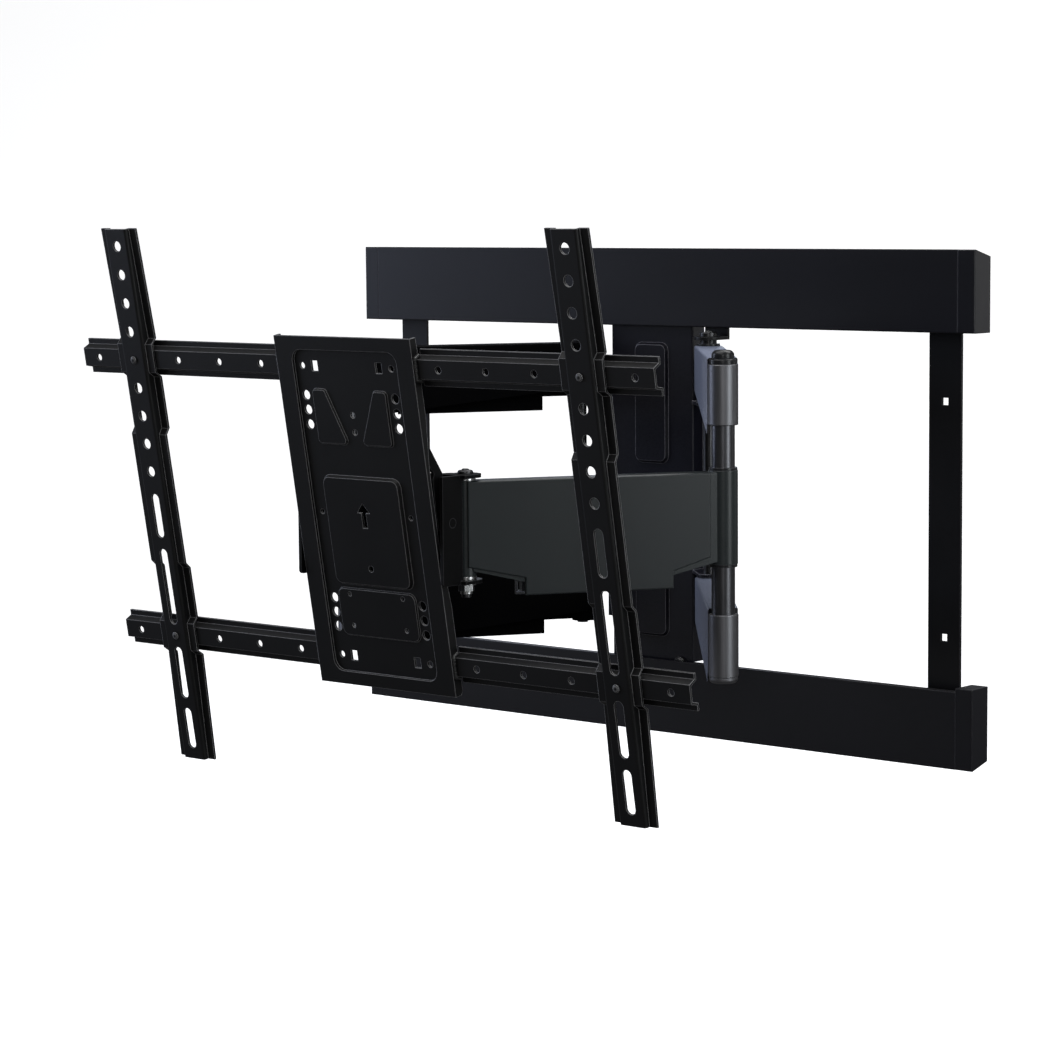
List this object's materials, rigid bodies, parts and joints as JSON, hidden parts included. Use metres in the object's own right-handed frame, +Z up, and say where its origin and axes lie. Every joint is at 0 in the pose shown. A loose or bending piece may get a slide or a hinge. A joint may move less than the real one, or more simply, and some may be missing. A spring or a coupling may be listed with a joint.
{
  "type": "full motion tv wall mount",
  "caption": "Dual-arm full motion television wall mount with folding arms, tilting head plate, cross rails and slotted upright brackets on a covered wall frame.",
  "frame": {"origin": "on the wall, midway between the two wall pivots and level with the middle of the forearms", "axes": "+X along the wall to the right as seen from the room, +Y into the wall, +Z up"},
  "size_m": [0.71, 0.4757, 0.4745],
  "materials": {
    "black_steel": "satin black powder coat",
    "cover_plastic": "smooth dark navy-black moulding",
    "panel_plastic": "semi-gloss dark grey moulding",
    "black_plastic": "satin black moulding",
    "satin_steel": "satin dark grey tube",
    "dark_steel": "blackened steel fastener",
    "zinc": "bright zinc plate"
  },
  "bodies": {
    "wall_frame": {"bottom_cover": "cover_plastic", "bottom_left_end_cap": "cover_plastic", "bottom_rail": "black_steel", "bottom_right_end_cap": "cover_plastic", "frame_bolts": "dark_steel", "left_strap": "black_steel", "left_top_ear": "black_steel", "left_wall_bushes": "dark_steel", "left_wall_pin": "dark_steel", "right_strap": "black_steel", "right_top_ear": "black_steel", "right_wall_bushes": "dark_steel", "right_wall_pin": "dark_steel", "top_cover": "cover_plastic", "top_left_end_cap": "cover_plastic", "top_rail": "black_steel", "top_right_end_cap": "cover_plastic", "wall_plate": "black_steel"},
    "right_rear_arm": {"right_upper_beam": "black_steel", "right_lower_beam": "black_steel", "right_elbow_post": "satin_steel", "right_upper_sleeve": "satin_steel", "right_lower_sleeve": "satin_steel", "right_top_cap": "black_plastic", "right_bottom_cap": "black_plastic", "right_elbow_collars": "black_plastic"},
    "left_rear_arm": {"left_upper_beam": "black_steel", "left_lower_beam": "black_steel", "left_elbow_post": "satin_steel", "left_upper_sleeve": "satin_steel", "left_lower_sleeve": "satin_steel", "left_top_cap": "black_plastic", "left_bottom_cap": "black_plastic", "left_elbow_collars": "black_plastic"},
    "right_forearm_body": {"right_forearm": "black_steel", "right_forearm_panel": "panel_plastic", "right_cable_hook": "black_steel"},
    "left_forearm_body": {"left_forearm": "black_steel", "left_forearm_panel": "panel_plastic", "left_cable_hook": "black_steel"},
    "yoke_body": {"yoke": "black_steel", "right_yoke_bolt": "dark_steel", "right_yoke_nut": "zinc", "right_yoke_washers": "dark_steel", "left_yoke_bolt": "dark_steel", "left_yoke_nut": "zinc", "left_yoke_washers": "dark_steel", "tilt_bolts": "dark_steel"},
    "tv_head": {"head_plate": "black_steel", "upper_left_rail": "black_steel", "upper_right_rail": "black_steel", "lower_left_rail": "black_steel", "lower_right_rail": "black_steel", "left_tilt_arm": "black_steel", "right_tilt_arm": "black_steel", "left_bracket": "black_steel", "right_bracket": "black_steel", "bracket_bolts": "dark_steel"}
  },
  "joints": [
    {"name": "right_wall_pivot", "type": "hinge", "parent": "wall_frame", "child": "right_rear_arm", "pos_m": [0.075, -0.03, 0], "axis": [0, 0, 1], "range_deg": [-26, 42]},
    {"name": "right_elbow", "type": "hinge", "parent": "right_rear_arm", "child": "right_forearm_body", "pos_m": [0.21963, -0.20236, 0], "axis": [0, 0, 1], "range_deg": [-91.5, 56.83]},
    {"name": "yoke_swivel", "type": "hinge", "parent": "right_forearm_body", "child": "yoke_body", "pos_m": [0.09708, -0.39106, 0], "axis": [0, 0, 1], "range_deg": [-30.83, 49.5]},
    {"name": "left_wall_pivot", "type": "hinge", "parent": "wall_frame", "child": "left_rear_arm", "pos_m": [-0.075, -0.03, 0], "axis": [0, 0, 1], "range_deg": [-49.5, 30.83]},
    {"name": "left_elbow", "type": "hinge", "parent": "left_rear_arm", "child": "left_forearm_body", "pos_m": [-0.19754, -0.2187, 0], "axis": [0, 0, 1], "range_deg": [-56.83, 91.5]},
    {"name": "head_tilt", "type": "hinge", "parent": "yoke_body", "child": "tv_head", "pos_m": [0.02208, -0.415, 0.008], "axis": [1, 0, 0], "range_deg": [-15, 5]}
  ],
  "couplings": [
    {"joint": "right_elbow", "follows": "right_wall_pivot", "ratio": -2.1667},
    {"joint": "yoke_swivel", "follows": "right_wall_pivot", "ratio": 1.1667},
    {"joint": "left_wall_pivot", "follows": "right_wall_pivot", "ratio": -1.1667},
    {"joint": "left_elbow", "follows": "right_wall_pivot", "ratio": 2.1667}
  ]
}
